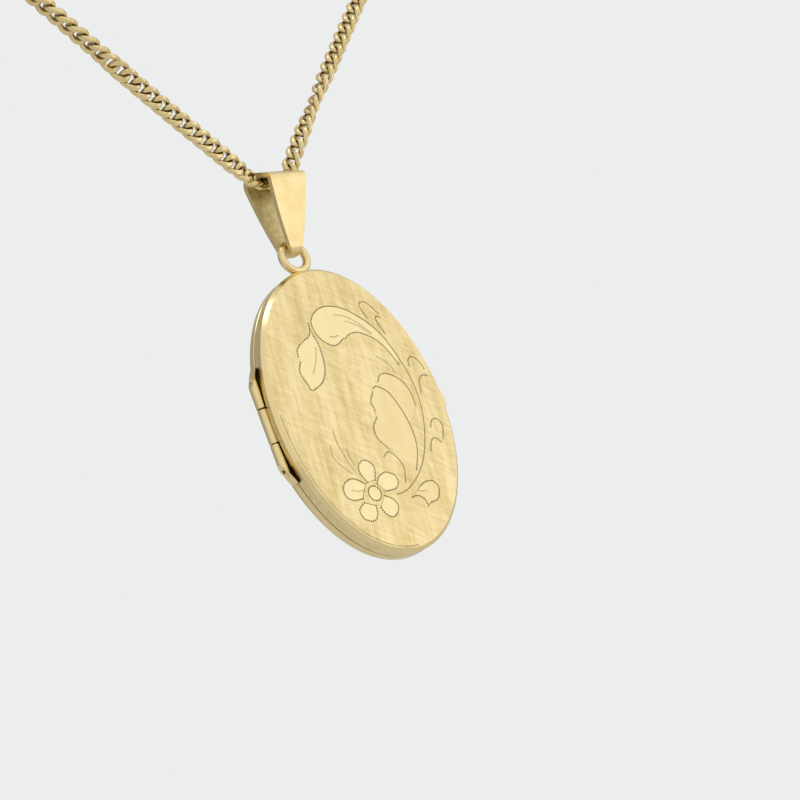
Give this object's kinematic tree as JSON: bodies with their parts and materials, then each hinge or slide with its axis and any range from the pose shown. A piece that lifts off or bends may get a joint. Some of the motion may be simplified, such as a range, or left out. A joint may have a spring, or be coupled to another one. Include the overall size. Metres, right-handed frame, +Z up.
{
  "type": "locket",
  "caption": "Oval hinged photo locket with an engraved front, hung by a folded bail from a curb chain with a bolt ring clasp.",
  "frame": {"origin": "axis of the chain at its lowest point, inside the bail's fold, where the locket hangs", "axes": "+Z up along the case's long axis, -Y out of the engraved front, -X to the hinge, +X to the thumb catch"},
  "size_m": [0.0612, 0.0141, 0.0671],
  "materials": {
    "gold": "brushed and polished yellow gold",
    "frame_gold": "polished",
    "spring_steel": "bright drawn wire",
    "clear_window": "clear film",
    "photo_card": "plain matte card"
  },
  "bodies": {
    "chain": {"chain": "gold", "clasp_jump_ring": "gold", "clasp_eyelet": "gold", "clasp_body": "gold", "clasp_spring": "spring_steel", "tag_jump_ring": "gold", "end_tag": "gold"},
    "clasp_bolt": {"clasp_bolt": "gold"},
    "bail": {"bail": "gold"},
    "back_case": {"back_shell": "gold", "back_inner_rim": "gold", "back_photo_frame": "frame_gold", "back_window": "clear_window", "back_photo_card": "photo_card", "hinge_knuckle_top": "gold", "hinge_knuckle_bottom": "gold", "hinge_pin": "gold", "snap_bead": "gold", "suspension_ring": "gold", "ring_foot": "gold"},
    "front_cover": {"front_shell": "gold", "front_inner_rim": "gold", "front_photo_frame": "frame_gold", "front_window": "clear_window", "front_photo_card": "photo_card", "hinge_knuckle_middle": "gold", "thumb_catch": "gold"}
  },
  "joints": [
    {"name": "bail_swing", "type": "hinge", "parent": "chain", "child": "bail", "pos_m": [0, 0, 0], "axis": [1, 0, 0], "range_deg": [-80, 80]},
    {"name": "locket_swing", "type": "hinge", "parent": "bail", "child": "back_case", "pos_m": [0, 0.00098, -0.00506], "axis": [1, 0, 0], "range_deg": [-38, 55]},
    {"name": "cover_hinge", "type": "hinge", "parent": "back_case", "child": "front_cover", "pos_m": [-0.01058, 0.00078, -0.02348], "axis": [0, 0, -1], "range_deg": [0, 165]},
    {"name": "bolt_slide", "type": "hinge", "parent": "chain", "child": "clasp_bolt", "pos_m": [-0.03344, -0.0106, 0.02354], "axis": [-0.105, 0.9566, 0.2718], "range_deg": [0, 46], "stiffness_Nm_per_rad": 0.0004, "springref_deg": -17.19, "deforming": ["clasp_spring"]}
  ]
}
